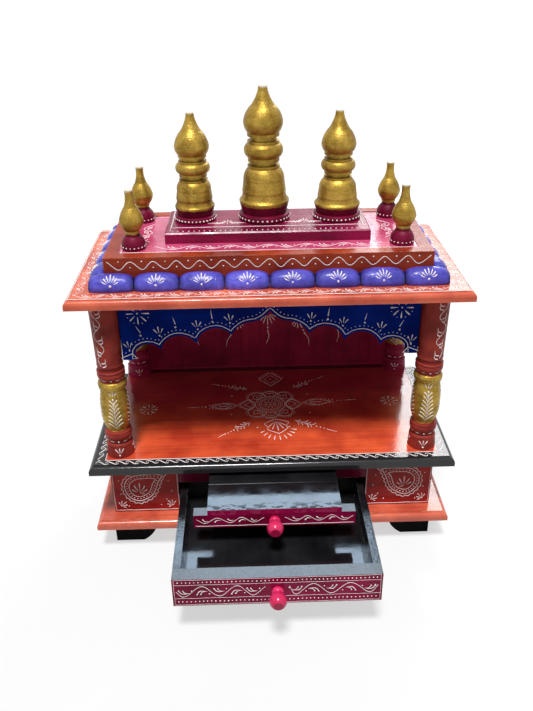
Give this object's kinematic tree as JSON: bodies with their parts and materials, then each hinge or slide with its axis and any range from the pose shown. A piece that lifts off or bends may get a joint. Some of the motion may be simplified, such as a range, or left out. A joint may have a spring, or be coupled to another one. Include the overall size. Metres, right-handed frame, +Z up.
{
  "type": "wooden home shrine",
  "caption": "Painted wooden home shrine with turned pillars, cusped valances, gilded finials on a padded roof, and a drawer and pull-out tray in its base.",
  "frame": {"origin": "on the ground, below the middle of the box that holds the shrine with its drawer open", "axes": "+Z up, +X to the shrine's right as seen from the front, front towards -Y"},
  "size_m": [0.457, 0.406, 0.5608],
  "materials": {
    "black_lacquer": "gloss lacquer",
    "orange_lacquer": "gloss lacquer",
    "maroon_lacquer": "gloss lacquer",
    "knob_lacquer": "gloss lacquer",
    "navy_lacquer": "gloss lacquer",
    "ultramarine_lacquer": "gloss lacquer",
    "pink_lacquer": "gloss lacquer",
    "gold_paint": "gloss lacquer"
  },
  "bodies": {
    "shrine": {"foot_front_left": "black_lacquer", "foot_front_right": "black_lacquer", "foot_back_left": "black_lacquer", "foot_back_right": "black_lacquer", "drawer_guides": "black_lacquer", "tray_runners": "black_lacquer", "base_board": "orange_lacquer", "base_front_board": "orange_lacquer", "base_left_side": "orange_lacquer", "base_right_side": "orange_lacquer", "base_back_board": "orange_lacquer", "floor_board": "orange_lacquer", "pillar_front_left": "orange_lacquer", "pillar_front_right": "orange_lacquer", "pillar_back_left": "orange_lacquer", "pillar_back_right": "orange_lacquer", "back_panel": "orange_lacquer", "roof_board": "orange_lacquer", "platform_frame": "orange_lacquer", "finial_block": "maroon_lacquer", "front_valance": "navy_lacquer", "left_valance": "navy_lacquer", "right_valance": "navy_lacquer", "bolster_front": "ultramarine_lacquer", "bolster_back": "ultramarine_lacquer", "bolster_left": "ultramarine_lacquer", "bolster_right": "ultramarine_lacquer", "platform_panel": "pink_lacquer", "centre_finial": "gold_paint", "left_finial": "gold_paint", "right_finial": "gold_paint", "corner_finial_front_left": "gold_paint", "corner_finial_front_right": "gold_paint", "corner_finial_back_left": "gold_paint", "corner_finial_back_right": "gold_paint"},
    "drawer": {"drawer_front": "maroon_lacquer", "drawer_left_side": "black_lacquer", "drawer_right_side": "black_lacquer", "drawer_back": "black_lacquer", "drawer_bottom": "black_lacquer", "drawer_knob": "knob_lacquer"},
    "tray": {"tray_board": "black_lacquer", "tray_bar": "maroon_lacquer", "tray_knob": "knob_lacquer"}
  },
  "joints": [
    {"name": "drawer_slide", "type": "slide", "parent": "shrine", "child": "drawer", "axis": [0, -1, 0], "range_m": [-0.1645, 0.01]},
    {"name": "tray_slide", "type": "slide", "parent": "shrine", "child": "tray", "axis": [0, -1, 0], "range_m": [-0.0713, 0.05]}
  ]
}
